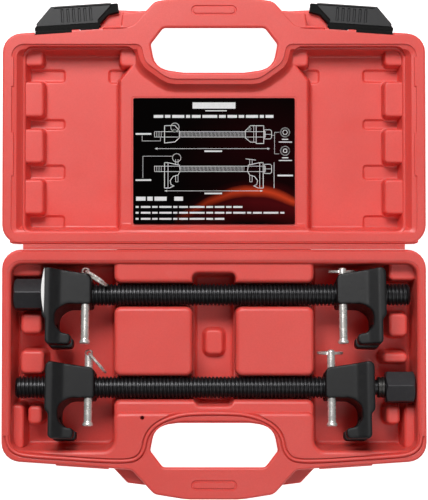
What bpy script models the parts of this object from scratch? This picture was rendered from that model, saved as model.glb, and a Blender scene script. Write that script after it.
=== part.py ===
"""Matched pair of coil spring compressors in an open, blow-moulded carrying case.

Frame: origin on the floor under the middle of the case hinge, +X to the right, +Y towards the
lid, +Z up. The tray lies at -Y and the lid, opened flat, at +Y. Every dimension is in
millimetres and is turned into metres where Blender needs it.

A case half is drawn in (x, d), where d is the distance from the hinge line, and a tool in its
own frame: x along the rod, v away from the hooks, w up out of the tray.
"""
import math

import bmesh
import bpy
from mathutils import Matrix, Vector

MM = 0.001
GAP = 0.3                   # between pieces that touch

# case halves
HALF_WIDTH = 155.6          # half of the case's width
HINGE_Z = 42.0              # height of the hinge axis and of the closing plane
RIM_Z = HINGE_Z - 0.2       # top of each half's rim
BACK_D = 2.0                # back wall's distance from the hinge line
CORNER_D = 156.5            # front wall at the corners
SHOULDER_X, SHOULDER_D = 77.0, 161.8
HANDLE_D = 184.8            # outermost edge of the handle
CORNER_R = 14.0
SKIN = 2.0                  # wall of the blow moulding
CUT_ABOVE = 6.0             # how far a cutter stands clear of the face it cuts

# tray
WELL_X = (73.5, 148.8)      # side wells, inner and outer wall
WELL_D = (12.6, 149.0)
WELL_FLOOR = 4.0
TABLE_Z = 38.6              # top of the blocks between the wells
TABLE_D = (13.0, 121.0)
CHANNEL_FLOOR = 20.0
RECESS_X = 15.8             # finger recess between the blocks
RECESS_D = (19.2, 116.5)
RECESS_FLOOR = 10.0

# lid
LID_WELL_X = (70.0, 139.0)
LID_WELL_D = (12.5, 146.5)
LID_WELL_FLOOR = 19.5
PANEL_D = (11.0, 121.0)
PANEL_Z = 32.0
CARD = (-59.8, 59.8, 17.0, 110.5)
CARD_THICK = 0.8

# tools
ROD_R = 8.0
ROD_Z = 30.0                # height of the rod axis
ROLL = math.radians(-9.0)   # the hooks lean up out of the tray
BORE_R = ROD_R + 0.35
NECK_R = 5.8
NECK_LENGTH = 9.0
COLLAR_R = 7.8
COLLAR_LENGTH = 5.6
HEAD_FLATS = 22.0
HEAD_LENGTH = 21.4
SQUARE_DRIVE = 12.8
JAW_LENGTH = 35.4
JAW_FLANGE_W = 22.0         # half of the jaw's width at its outer face
JAW_INNER_W = 16.5
FORK_GAP = 14.0
PIN_R = 3.0
PIN_LENGTH = 56.0
PIN_FOOT_R = 3.9
PIN_U, PIN_W = 31.0, 13.0   # pin axis in the jaw
EYE_DROP = 2.8              # ring hole below the pin's top
EYE_R = 1.8                 # the ring hole
RING_R = 9.4                # to the middle of the wire
RING_WIRE_R = 0.85

TOOLS = {
    # d: rod axis from the hinge line; side: +1 where the hex head is on the left;
    # head: x of the head's free face; tip: x of the rod's other end;
    # captive, travelling: x of each jaw's outer face; pin_top: v of the pins' top ends;
    # upright: the jaw whose pin has its ring hole upright, with the ring's lean, degrees
    "tool_1": {"d": 35.2, "side": 1, "head": -147.2, "tip": 144.6, "captive": -125.0,
               "travelling": 125.2, "pin_top": 18.0, "upright": ("captive", -33.0)},
    "tool_2": {"d": 103.5, "side": -1, "head": 147.6, "tip": -146.2, "captive": 116.8,
               "travelling": -122.8, "pin_top": 26.4, "upright": ("travelling", -48.0)},
}

# latches, each in its own frame: x along the lid's front edge, y outward, z up
LATCH_X = 108.5             # middle of the pivot from the case's middle
LATCH_HALF = 23.5
LATCH_SKEW = 12.0           # how far the plate's outer edge is shifted towards the handle
LATCH_REACH = 16.0
LATCH_Z = 32.8
LATCH_OFFSET = 3.4          # pivot axis from the lid's front wall
LATCH_THICK = 2.4
BARREL_R = 2.3
TRUNNION_R = 1.5
EAR_WIDTH = 4.0

COLORS = {
    # base colour, roughness, metallic
    "red_polythene": ((0.72, 0.10, 0.08), 0.45, 0.0),
    "black_nylon": ((0.02, 0.02, 0.022), 0.4, 0.0),
    "card": ((0.05, 0.03, 0.03), 0.35, 0.0),
    "black_oxide": ((0.022, 0.023, 0.025), 0.38, 0.6),
    "black_coated_casting": ((0.03, 0.032, 0.034), 0.45, 0.3),
    "chrome": ((0.82, 0.81, 0.80), 0.16, 1.0),
    "bronze": ((0.16, 0.15, 0.14), 0.4, 0.8),
}


# ---------------------------------------------------------------- scene and helpers

def clear_scene():
    for thing in list(bpy.data.objects):
        bpy.data.objects.remove(thing, do_unlink=True)


def collection(name):
    made = bpy.data.collections.new(name)
    bpy.context.scene.collection.children.link(made)
    return made


def material(name):
    color, roughness, metallic = COLORS[name]
    made = bpy.data.materials.get(name)
    if made is None:
        made = bpy.data.materials.new(name)
        made.use_nodes = True
        shader = made.node_tree.nodes["Principled BSDF"]
        shader.inputs["Base Color"].default_value = (*color, 1.0)
        shader.inputs["Roughness"].default_value = roughness
        shader.inputs["Metallic"].default_value = metallic
        made.diffuse_color = (*color, 1.0)
    return made


def empty(name, location, rotation=(0.0, 0.0, 0.0), parent=None):
    made = bpy.data.objects.new(name, None)
    made.location = Vector(location) * MM
    made.rotation_euler = rotation
    made.parent = parent
    PARTS.objects.link(made)
    return made


def finish_part(thing, name, finish, parent=None, smooth=None):
    """Name a mesh object as a node, give it its own material and put it with the parts."""
    thing.name = name
    own = material(finish).copy()
    own.name = name + "_" + finish
    thing.data.materials.clear()
    thing.data.materials.append(own)
    thing.parent = parent
    if smooth is not None:
        thing.data.shade_smooth()
        thing.data.set_sharp_from_angle(angle=math.radians(smooth))
    for home in list(thing.users_collection):
        home.objects.unlink(thing)
    PARTS.objects.link(thing)
    return thing


def as_cutter(thing, parent=None):
    thing.hide_render = True
    thing.display_type = "WIRE"
    thing.parent = parent
    for home in list(thing.users_collection):
        home.objects.unlink(thing)
    CUTTERS.objects.link(thing)
    return thing


def boolean(thing, other, operation="DIFFERENCE"):
    modifier = thing.modifiers.new(operation.lower(), "BOOLEAN")
    modifier.operation = operation
    modifier.object = other
    modifier.solver = "EXACT"
    return modifier


def cut(thing, cutters):
    for cutter in cutters:
        boolean(thing, as_cutter(cutter, thing.parent))


def mesh_object(name, work):
    data = bpy.data.meshes.new(name)
    work.to_mesh(data)
    work.free()
    made = bpy.data.objects.new(name, data)
    bpy.context.scene.collection.objects.link(made)
    return made


def slab(name, outline, low, high):
    """A flat outline (a list of points) made solid between two heights, as a mesh."""
    curve = bpy.data.curves.new(name + "_outline", "CURVE")
    curve.dimensions = "2D"
    curve.fill_mode = "BOTH"
    curve.extrude = (high - low) / 2 * MM
    spline = curve.splines.new("POLY")
    spline.points.add(len(outline) - 1)
    for point, (x, y) in zip(spline.points, outline):
        point.co = (x * MM, y * MM, 0.0, 1.0)
    spline.use_cyclic_u = True
    guide = bpy.data.objects.new(name + "_guide", curve)
    bpy.context.scene.collection.objects.link(guide)
    graph = bpy.context.evaluated_depsgraph_get()
    data = bpy.data.meshes.new_from_object(guide.evaluated_get(graph))
    bpy.data.objects.remove(guide)
    work = bmesh.new()
    work.from_mesh(data)
    bpy.data.meshes.remove(data)
    bmesh.ops.remove_doubles(work, verts=work.verts, dist=1e-6)
    bmesh.ops.translate(work, verts=work.verts, vec=(0, 0, (low + high) / 2 * MM))
    bmesh.ops.recalc_face_normals(work, faces=work.faces)
    return mesh_object(name, work)


def box(name, low, high):
    work = bmesh.new()
    size = [(b - a) * MM for a, b in zip(low, high)]
    middle = [(a + b) / 2 * MM for a, b in zip(low, high)]
    bmesh.ops.create_cube(work, size=1.0, matrix=Matrix.LocRotScale(middle, None, size))
    return mesh_object(name, work)


def bar(name, start, end, radius, sides=24, end_radius=None):
    """A round or, with few sides, a prismatic bar between two points."""
    axis = Vector(end) - Vector(start)
    work = bmesh.new()
    turn = axis.to_track_quat("Z", "Y").to_matrix().to_4x4()
    place = Matrix.Translation((Vector(start) + Vector(end)) / 2 * MM) @ turn
    bmesh.ops.create_cone(work, cap_ends=True, segments=sides, radius1=radius * MM,
                          radius2=(radius if end_radius is None else end_radius) * MM,
                          depth=axis.length * MM, matrix=place)
    return mesh_object(name, work)


def turned(name, profile, sides, axis="Z"):
    """A profile of (radius, height) from top to bottom, turned once about its axis."""
    work = bmesh.new()
    points = [work.verts.new((radius * MM, 0, height * MM)) for radius, height in profile]
    for one, other in zip(points, points[1:]):
        work.edges.new((one, other))
    made = mesh_object(name, work)
    screw = made.modifiers.new("turn", "SCREW")
    screw.steps = screw.render_steps = sides
    screw.use_merge_vertices = True
    screw.merge_threshold = 0.00001
    if axis == "X":
        made.data.transform(Matrix.Rotation(math.radians(90), 4, "Y"))
        screw.axis = "X"
    elif axis == "Y":
        made.data.transform(Matrix.Rotation(math.radians(-90), 4, "X"))
        screw.axis = "Y"
    return made


# ---------------------------------------------------------------- outlines

def offset(corners, inset):
    """Move every side of a counter-clockwise polygon of (x, y, radius) inward."""
    moved = []
    for i, (x, y, radius) in enumerate(corners):
        before = Vector(corners[i - 1][:2])
        after = Vector(corners[(i + 1) % len(corners)][:2])
        here = Vector((x, y))
        incoming = (here - before).normalized()
        outgoing = (after - here).normalized()
        one = Vector((-incoming.y, incoming.x))
        other = Vector((-outgoing.y, outgoing.x))
        place = here + inset * (one + other) / (1 + one.dot(other))
        turn = incoming.x * outgoing.y - incoming.y * outgoing.x
        grown = radius - inset if turn > 0 else radius + inset
        moved.append((place.x, place.y, max(grown, 0.0)))
    return moved


def rounded(corners, arc_step=30.0):
    """The points of a polygon whose corners (x, y, radius) are rounded with arcs."""
    points = []
    for i, (x, y, radius) in enumerate(corners):
        here = Vector((x, y))
        back = (Vector(corners[i - 1][:2]) - here).normalized()
        ahead = (Vector(corners[(i + 1) % len(corners)][:2]) - here).normalized()
        half = back.angle(ahead) / 2
        if radius < 0.05 or half > math.radians(89):
            points.append((x, y))
            continue
        reach = radius / math.tan(half)
        centre = here + (back + ahead).normalized() * radius / math.sin(half)
        start = here + back * reach - centre
        end = here + ahead * reach - centre
        sweep = start.angle_signed(end)
        steps = max(1, round(abs(math.degrees(sweep)) / arc_step))
        for k in range(steps + 1):
            angle = -sweep * k / steps
            turn = Vector((start.x * math.cos(angle) - start.y * math.sin(angle),
                           start.x * math.sin(angle) + start.y * math.cos(angle)))
            points.append(tuple(centre + turn))
    return points


def rectangle(x_range, d_range, radius):
    (left, right), (near, far) = sorted(x_range), sorted(d_range)
    return [(left, near, radius), (right, near, radius), (right, far, radius), (left, far, radius)]


def both_sides(right_half):
    """A counter-clockwise polygon from the corners of its right half, near to far."""
    return right_half + [(-x, d, radius) for x, d, radius in reversed(right_half)]


def case_corners():
    return both_sides([
        (HALF_WIDTH, BACK_D, CORNER_R),
        (HALF_WIDTH, CORNER_D, CORNER_R),
        (SHOULDER_X, SHOULDER_D, 12.0),
        (60.0, 163.4, 5.0),
        (43.7, 181.0, 8.0),
        (20.0, HANDLE_D, 40.0),
    ])


def handle_hole_corners():
    return both_sides([
        (21.0, 128.0, 20.0),
        (46.0, 139.5, 12.0),
        (46.0, 164.0, 11.0),
    ])


def latch_boss_corners(side):
    """The low skewed step beside each end of the handle."""
    return [(side * x, d, radius) for x, d, radius in
            ((76.0, 150.0, 0.0), (76.0, 161.6, 1.5), (64.0, 174.2, 2.0), (50.0, 176.0, 0.0),
             (46.0, 166.0, 0.0))]


# ---------------------------------------------------------------- case

def half_slab(name, corners, low, high, side):
    points = [(x, side * d) for x, d in rounded(corners)]
    return slab(name, points, low - HINGE_Z, high - HINGE_Z)


def block(name, x_range, d_range, low, high, side):
    near, far = sorted((side * d_range[0], side * d_range[1]))
    left, right = sorted(x_range)
    return box(name, (left, near, low - HINGE_Z), (right, far, high - HINGE_Z))


def case_half(name, side, pockets, islands, vent, parent):
    """A hollow double-walled half: outer block, pockets, and the air between the skins."""
    half = half_slab(name, case_corners(), 0.0, RIM_Z, side)
    half.parent = parent
    for wing in (1, -1):
        boss = half_slab(name + "_boss", latch_boss_corners(wing), 3.0, 24.0, side)
        boolean(half, as_cutter(boss, parent), "UNION")
    air = half_slab(name + "_air", offset(case_corners(), SKIN), SKIN, RIM_Z - SKIN, side)
    for number, (corners, floor) in enumerate(pockets):
        tag = f"{name}_pocket_{number}"
        pocket = half_slab(tag, corners, floor, RIM_Z + CUT_ABOVE, side)
        for lump, (x_range, d_range, low, top) in enumerate(islands):
            if low == floor:
                island = block(f"{tag}_island_{lump}", x_range, d_range, low - 1.0, top, side)
                boolean(pocket, as_cutter(island, parent))
        cut(half, [pocket])
        around = half_slab(tag + "_skin", offset(corners, -SKIN), floor - SKIN - 0.5,
                           RIM_Z + CUT_ABOVE, side)
        boolean(air, as_cutter(around, parent))
    cut(half, [air])
    x, d, low, high = vent
    hole = bar(name + "_vent", (x, side * d, low - HINGE_Z), (x, side * d, high - HINGE_Z), 1.6, 12)
    cut(half, [hole])
    return half


def tray_islands():
    """Lumps that keep the rod ends and the jaws from sliding about: x, d, foot, top."""
    lumps = []
    for x_range, d_range, top in (
            ((-150.0, -127.0), (11.0, 21.6), 30.0), ((-143.2, -127.7), (49.0, 64.0), 28.0),
            ((-143.2, -125.6), (76.3, 93.6), 30.0), ((-147.5, -141.0), (116.5, 146.0), 26.0),
            ((-138.0, -127.7), (117.5, 131.2), 26.0),
            ((128.0, 150.0), (11.0, 24.6), 30.0), ((128.0, 143.5), (49.0, 66.0), 28.0),
            ((124.6, 143.5), (78.0, 85.4), 30.0), ((141.0, 147.5), (117.0, 146.0), 26.0),
            ((127.7, 138.0), (117.5, 131.2), 26.0)):
        lumps.append((x_range, d_range, WELL_FLOOR, top))
    lumps.append(((-7.0, 7.0), (61.0, 80.0), RECESS_FLOOR, 16.0))
    return lumps


def tray_pockets():
    left = (-WELL_X[1], -WELL_X[0])
    channels = [(rectangle((-WELL_X[0] - 2, WELL_X[0] + 2),
                           (tool["d"] - ROD_R - 0.9, tool["d"] + ROD_R + 0.9), 0.0), CHANNEL_FLOOR)
                for tool in TOOLS.values()]
    return [
        (rectangle(WELL_X, WELL_D, 8.0), WELL_FLOOR),
        (rectangle(left, WELL_D, 8.0), WELL_FLOOR),
        (rectangle((-WELL_X[0] - 1, WELL_X[0] + 1), TABLE_D, 4.0), TABLE_Z),
        (rectangle((-RECESS_X, RECESS_X), RECESS_D, 4.0), RECESS_FLOOR),
        (handle_hole_corners(), -CUT_ABOVE),
    ] + channels


def lid_islands():
    """Stiffening blocks along the lid's side walls and in its corners."""
    lumps = []
    for wing in (1, -1):
        for near, far in ((24.0, 49.0), (62.0, 87.0), (99.0, 123.0)):
            lumps.append(((wing * 127.0, wing * 141.0), (near, far), LID_WELL_FLOOR, 29.5))
        lumps.append(((wing * 124.0, wing * 141.0), (135.5, 148.0), LID_WELL_FLOOR, 34.0))
        lumps.append(((wing * 68.0, wing * 71.5), (134.9, 148.0), LID_WELL_FLOOR, 34.0))
    return lumps


def lid_pockets():
    left = (-LID_WELL_X[1], -LID_WELL_X[0])
    return [
        (rectangle(LID_WELL_X, LID_WELL_D, 8.0), LID_WELL_FLOOR),
        (rectangle(left, LID_WELL_D, 8.0), LID_WELL_FLOOR),
        (rectangle((-LID_WELL_X[0] - 1, LID_WELL_X[0] + 1), PANEL_D, 4.0), PANEL_Z),
        (handle_hole_corners(), -CUT_ABOVE),
    ]


def latch_frames():
    """Place and turn of each latch's pivot axis, with the side that it is on."""
    slope = math.atan2(SHOULDER_D - CORNER_D, HALF_WIDTH - SHOULDER_X)
    wall_d = CORNER_D + (HALF_WIDTH - LATCH_X) * math.tan(slope)
    axis_d = wall_d + LATCH_OFFSET / math.cos(slope)
    for label, wing in (("left", -1), ("right", 1)):
        yield label, wing, (wing * LATCH_X, axis_d), -wing * slope


def add_ears(lid, hinge):
    """Two drilled ears on the lid for each latch's trunnions."""
    for label, _, (x, d), turn in latch_frames():
        frame = empty(f"latch_{label}_seat", (x, d, LATCH_Z - HINGE_Z), (0, 0, turn), hinge)
        for end in (-1, 1):
            inner = end * (LATCH_HALF + GAP)
            outer = end * (LATCH_HALF + GAP + EAR_WIDTH)
            low_x, high_x = sorted((inner, outer))
            ear = box(f"ear_{label}_{end}", (low_x, -LATCH_OFFSET - 1.0, -BARREL_R - 0.6),
                      (high_x, BARREL_R + 0.2, BARREL_R + 0.6))
            hole = bar(f"ear_hole_{label}_{end}", (low_x - 1, 0, 0), (high_x + 1, 0, 0),
                       TRUNNION_R + GAP, 12)
            boolean(lid, as_cutter(ear, frame), "UNION")
            boolean(lid, as_cutter(hole, frame))


def add_catches(tray, base):
    """A ridge on the tray's front wall that each closed latch snaps under."""
    for label, wing, (x, d), turn in latch_frames():
        frame = empty(f"catch_{label}_seat", (x, -d, 0.0), (0, 0, -turn), base)
        shift = -wing * LATCH_SKEW
        low = (shift - LATCH_HALF + 4.0, LATCH_OFFSET - 1.6, 38.0 - HINGE_Z)
        high = (shift + LATCH_HALF - 4.0, LATCH_OFFSET + 1.0, 40.4 - HINGE_Z)
        ridge = box(f"catch_{label}", low, high)
        boolean(tray, as_cutter(ridge, frame), "UNION")


def add_case():
    base = empty("case_base", (0, 0, HINGE_Z))
    tray = case_half("case_tray", -1, tray_pockets(), tray_islands(),
                     (-52.5, 125.0, TABLE_Z - 4.0, RIM_Z + 2.0), base)
    add_catches(tray, base)
    finish_part(tray, "case_tray", "red_polythene", base)

    hinge = empty("lid_hinge_axis", (0, 0, HINGE_Z))
    lid = case_half("case_lid", 1, lid_pockets(), lid_islands(), (0.0, 60.0, -2.0, 4.0), hinge)
    add_ears(lid, hinge)
    finish_part(lid, "case_lid", "red_polythene", hinge)

    web = box("living_hinge", (-140.0, -1.6, -1.4), (140.0, 1.6, -0.6))
    finish_part(web, "living_hinge", "red_polythene", base)

    left, right, near, far = CARD
    low = PANEL_Z + GAP - HINGE_Z
    card = slab("instruction_card", rounded(rectangle((left, right), (near, far), 4.0)),
                low, low + CARD_THICK)
    finish_part(card, "instruction_card", "card", hinge)
    return hinge


def add_latches(hinge):
    for label, wing, (x, d), turn in latch_frames():
        frame = empty(f"latch_{label}_axis", (x, d, LATCH_Z - HINGE_Z), (0, 0, turn), hinge)
        skew = -wing * LATCH_SKEW
        root = LATCH_HALF - 0.5
        plate = [(-root, 1.0, 0.0), (root, 1.0, 0.0), (root, 4.4, 0.0),
                 (LATCH_HALF + skew, LATCH_REACH, 2.0), (-LATCH_HALF + skew, LATCH_REACH, 2.0),
                 (-root, 4.4, 0.0)]
        latch = slab("latch", rounded(plate), -LATCH_THICK / 2, LATCH_THICK / 2)
        latch.parent = frame
        barrel = bar("barrel", (-LATCH_HALF, 0, 0), (LATCH_HALF, 0, 0), BARREL_R, 16)
        reach = LATCH_HALF + EAR_WIDTH - 0.6
        trunnion = bar("trunnion", (-reach, 0, 0), (reach, 0, 0), TRUNNION_R, 12)
        lip = box("lip", (skew - LATCH_HALF + 2.5, LATCH_REACH - 2.0, 0.0),
                  (skew + LATCH_HALF - 2.5, LATCH_REACH - 0.4, LATCH_THICK / 2 + 1.6))
        for extra in (barrel, trunnion, lip):
            boolean(latch, as_cutter(extra, frame), "UNION")
        for groove in range(5):
            across = skew * 0.5 + (groove - 2) * 5.0
            slot = box(f"groove_{groove}", (across - 0.8, 4.0, LATCH_THICK / 2 - 0.7),
                       (across + 0.8, LATCH_REACH - 4.5, LATCH_THICK / 2 + 1.0))
            cut(latch, [slot])
        finish_part(latch, f"latch_{label}", "black_nylon", frame)


# ---------------------------------------------------------------- tools

def jaw_outline(face, side):
    """Side view of a jaw: u runs from its outer face towards the middle of the rod."""
    corners = [(0.0, -17.8, 3.0), (3.4, -23.0, 3.0), (3.4, -38.6, 1.5), (20.6, -37.2, 1.4),
               (20.8, -34.6, 0.6), (15.5, -32.2, 8.0), (9.4, -28.5, 6.0), (9.4, -15.5, 8.0),
               (17.5, -9.2, 10.0), (JAW_LENGTH, -9.2, 1.6), (JAW_LENGTH, 12.8, 6.0),
               (1.6, 17.6, 4.0), (0.0, 14.0, 2.0)]
    return [(face + side * u, v) for u, v in rounded(corners)]


def jaw_taper(face, side):
    """Top view of a jaw: wide at its outer flange, narrower at the inner end."""
    corners = [(-1.0, -JAW_FLANGE_W, 0.0), (5.0, -JAW_FLANGE_W, 4.0), (13.0, -JAW_INNER_W - 2, 6.0),
               (JAW_LENGTH + 1, -JAW_INNER_W, 0.0), (JAW_LENGTH + 1, JAW_INNER_W, 0.0),
               (13.0, JAW_INNER_W + 2, 6.0), (5.0, JAW_FLANGE_W, 4.0), (-1.0, JAW_FLANGE_W, 0.0)]
    return [(face + side * u, w) for u, w in rounded(corners)]


def add_jaw(name, face, side, frame):
    """A cast jaw: two hooks under a block that is bored for the rod and the safety pin."""
    jaw = slab(name, jaw_outline(face, side), -JAW_FLANGE_W - 1, JAW_FLANGE_W + 1)
    jaw.parent = frame
    taper = slab(name + "_taper", jaw_taper(face, side), -60.0, 60.0)
    taper.data.transform(Matrix.Rotation(math.radians(90), 4, "X"))
    boolean(jaw, as_cutter(taper, frame), "INTERSECT")
    edge = jaw.modifiers.new("edges", "BEVEL")
    edge.width = 0.0012
    edge.segments = 1
    edge.limit_method = "ANGLE"
    edge.angle_limit = math.radians(60)
    ends = sorted((face - side * 2, face + side * (JAW_LENGTH + 2)))
    pin_x = face + side * PIN_U
    fork = sorted((face - side * 4, face + side * 30))
    cut(jaw, [
        bar(name + "_bore", (ends[0], 0, 0), (ends[1], 0, 0), BORE_R, 24),
        bar(name + "_pin_hole", (pin_x, -20, PIN_W), (pin_x, 24, PIN_W), PIN_R + 0.15, 16),
        box(name + "_fork", (fork[0], -44, -FORK_GAP / 2), (fork[1], -22, FORK_GAP / 2)),
    ])
    return finish_part(jaw, name, "black_coated_casting", frame)


def add_pin(name, frame, x, top):
    """A plain pin with a spread foot and a cross hole for its ring; returns its frame."""
    axis = empty(name + "_axis", (x, top, PIN_W), parent=frame)
    foot = -PIN_LENGTH
    pin = turned(name, [(0.0, 0.0), (1.8, 0.0), (PIN_R, -1.2), (PIN_R, foot + 3.0),
                        (PIN_FOOT_R, foot + 1.2), (PIN_FOOT_R, foot + 0.4), (3.2, foot),
                        (0.0, foot)], 16, "Y")
    pin.parent = axis
    return pin, axis


def add_ring(name, frame, location, rotation):
    """A split ring threaded through its pin's cross hole, hanging from it."""
    curve = bpy.data.curves.new(name + "_path", "CURVE")
    curve.dimensions = "3D"
    curve.bevel_depth = RING_WIRE_R * MM
    curve.bevel_resolution = 1
    spline = curve.splines.new("POLY")
    points = 24
    spline.points.add(points - 1)
    for k, point in enumerate(spline.points):
        angle = 2 * math.pi * k / points
        point.co = (RING_R * math.sin(angle) * MM, 0.0, RING_R * (math.cos(angle) - 1) * MM, 1.0)
    spline.use_cyclic_u = True
    guide = bpy.data.objects.new(name + "_guide", curve)
    bpy.context.scene.collection.objects.link(guide)
    graph = bpy.context.evaluated_depsgraph_get()
    ring = bpy.data.objects.new(name, bpy.data.meshes.new_from_object(guide.evaluated_get(graph)))
    bpy.data.objects.remove(guide)
    bpy.context.scene.collection.objects.link(ring)
    seat = empty(name + "_axis", location, rotation, frame)
    return finish_part(ring, name, "chrome", seat, smooth=60)


def add_spindle(name, tool, frame):
    """Hex drive head with a square socket, and the long threaded rod that it turns."""
    side, head, tip = tool["side"], tool["head"], tool["tip"]
    shoulder = head + side * HEAD_LENGTH
    thread = shoulder + side * NECK_LENGTH
    hexagon = bar(name + "_hex", (head, 0, 0), (shoulder, 0, 0), HEAD_FLATS / math.sqrt(3), 6)
    hexagon.parent = frame
    flare = bar(name + "_flare", (head - side * 0.1, 0, 0), (shoulder + side * 0.1, 0, 0),
                HEAD_FLATS / 2 + 0.9, 24)
    boolean(hexagon, as_cutter(flare, frame), "INTERSECT")
    half = SQUARE_DRIVE / 2
    inner = head + side * 15.0
    outer = head - side * 2.0
    low, high = sorted((inner, outer))
    press = bar(name + "_seat", (shoulder - side * 5.0, 0, 0), (shoulder + side, 0, 0),
                NECK_R + GAP, 24)
    cut(hexagon, [box(name + "_square", (low, -half, -half), (high, half, half)), press])
    finish_part(hexagon, name + "_drive_head", "black_oxide", frame)

    start = shoulder - side * (5.0 - GAP)
    neck = abs(thread - start)
    length = abs(tip - start)
    rod = turned(name + "_rod", [(0.0, length), (ROD_R - 1.5, length), (ROD_R, length - 1.5),
                                 (ROD_R, neck), (NECK_R, neck - 1.0), (NECK_R, 0.0), (0.0, 0.0)],
                 24, "X")
    rod.parent = frame
    return rod, start


def add_tool(name, tool):
    frame = empty(name + "_axis", (0, -tool["d"], ROD_Z), (ROLL, 0, 0))
    side = tool["side"]
    rod, start = add_spindle(name, tool, frame)
    place_rod(rod, start, side)
    finish_part(rod, name + "_threaded_rod", "black_oxide", frame, smooth=40)

    shoulder = tool["head"] + side * HEAD_LENGTH
    collar = bar(name + "_collar", (shoulder + side * GAP, 0, 0),
                 (shoulder + side * COLLAR_LENGTH, 0, 0), COLLAR_R, 24)
    collar.parent = frame
    cut(collar, [bar(name + "_collar_bore", (shoulder - side * 2, 0, 0),
                     (shoulder + side * (COLLAR_LENGTH + 2), 0, 0), NECK_R + GAP, 24)])
    finish_part(collar, name + "_thrust_collar", "bronze", frame, smooth=40)

    upright, lean = tool["upright"]
    for kind, way in (("captive", side), ("travelling", -side)):
        face = tool[kind]
        add_jaw(f"{name}_{kind}_jaw", face, way, frame)
        pin, axis = add_pin(f"{name}_{kind}_pin", frame, face + way * PIN_U, tool["pin_top"])
        if kind == upright:         # hole upright: the ring leans down beside the rod
            across = Vector((0, 0, 6))
            rotation = (0, math.radians(-90), math.radians(lean))
        else:                       # hole along the rod: the ring hangs behind the pin
            across = Vector((6, 0, 0))
            rotation = (-ROLL, 0, 0)
        eye = Vector((0, -EYE_DROP, 0))
        cut(pin, [bar(pin.name + "_eye", eye - across, eye + across, EYE_R, 12)])
        finish_part(pin, pin.name, "chrome", axis, smooth=40)
        add_ring(f"{name}_{kind}_ring", axis, eye, rotation)


def place_rod(rod, start, side):
    """The rod is turned from x = 0 upwards; set it down at its real place and direction."""
    rod.location = (start * MM, 0, 0)
    if side < 0:
        rod.rotation_euler = (0, 0, math.pi)


clear_scene()
PARTS = collection("coil_spring_compressor_set")
CUTTERS = collection("cutters")
add_latches(add_case())
for tool_name, tool_plan in TOOLS.items():
    add_tool(tool_name, tool_plan)
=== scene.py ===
"""Looks of the spring compressor set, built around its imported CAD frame.

Lengths are in millimetres until a mesh is made. A case half is drawn in (x, d), where d is the
distance from the hinge line, and a tool in its own frame: x along the rod, v away from the
hooks, w up out of the tray.
"""
import math

import bmesh
import bpy
from mathutils import Euler, Matrix, Vector


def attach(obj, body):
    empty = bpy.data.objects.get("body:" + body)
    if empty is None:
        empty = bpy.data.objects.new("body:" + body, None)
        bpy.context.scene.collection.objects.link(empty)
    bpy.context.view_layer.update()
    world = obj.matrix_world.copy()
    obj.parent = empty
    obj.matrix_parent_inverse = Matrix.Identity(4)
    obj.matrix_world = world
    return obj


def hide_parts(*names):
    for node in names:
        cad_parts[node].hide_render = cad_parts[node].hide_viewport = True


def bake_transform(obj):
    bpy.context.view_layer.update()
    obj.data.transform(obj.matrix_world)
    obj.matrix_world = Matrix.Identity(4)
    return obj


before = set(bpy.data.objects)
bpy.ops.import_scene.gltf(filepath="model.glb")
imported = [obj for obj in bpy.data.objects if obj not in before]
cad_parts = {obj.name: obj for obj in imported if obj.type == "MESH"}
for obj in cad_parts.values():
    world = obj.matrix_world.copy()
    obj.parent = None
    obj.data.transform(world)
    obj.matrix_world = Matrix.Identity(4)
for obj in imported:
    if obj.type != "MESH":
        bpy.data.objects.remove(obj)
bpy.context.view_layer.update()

MM = 0.001
RIM_Z = 41.8                # top of each half's rim
OVER = 0.02                 # how far a rounded edge runs past the plane that it meets
ARC = 15.0                  # degrees between points on a rounded corner

LID_FLOOR, PANEL_Z = 19.5, 32.0
HALF_WIDTH = 155.6
CORNER_D = 156.5
SHOULDER_X, SHOULDER_D = 77.0, 161.8

# latches, each in its own frame: x along the lid's front edge, y outward, z up
LATCH_X, LATCH_Z, LATCH_OFFSET = 108.5, 32.8, 3.4
LATCH_HALF, LATCH_SKEW, LATCH_REACH = 23.5, 12.0, 16.0
LATCH_TOP = 1.2
BARREL_R, TRUNNION_R = 2.3, 1.5

# tools
ROD_R, ROOT_R, PITCH = 8.0, 6.9, 2.8
ROD_Z = 30.0
ROLL = math.radians(-9.0)
BORE_R = ROD_R + 0.35
NECK_R, NECK_LENGTH = 5.8, 9.0
COLLAR_R, COLLAR_LENGTH = 7.8, 5.6
HEAD_FLATS, HEAD_LENGTH, SQUARE_DRIVE = 22.0, 21.4, 12.8
JAW_LENGTH, JAW_FLANGE_W, JAW_INNER_W, FORK_GAP = 35.4, 22.0, 16.5, 14.0
PIN_R, PIN_LENGTH, PIN_FOOT_R = 3.0, 56.0, 3.9
PIN_U, PIN_W = 31.0, 13.0
EYE_DROP, EYE_R = 2.8, 1.8
RING_R, WIRE_R = 9.4, 0.46
# d from the hinge, side the rod runs to from its head, x of ends and outer jaw faces, top of the
# pins, and the pin whose ring stands up, with its lean in degrees
TOOLS = {
    "tool_1": {"d": 35.2, "side": 1, "head": -147.2, "tip": 144.6, "captive": -125.0,
               "travelling": 125.2, "pin_top": 18.0, "upright": ("captive", -33.0)},
    "tool_2": {"d": 103.5, "side": -1, "head": 147.6, "tip": -146.2, "captive": 116.8,
               "travelling": -122.8, "pin_top": 26.4, "upright": ("travelling", -48.0)},
}


# ---------------- outlines

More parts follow.
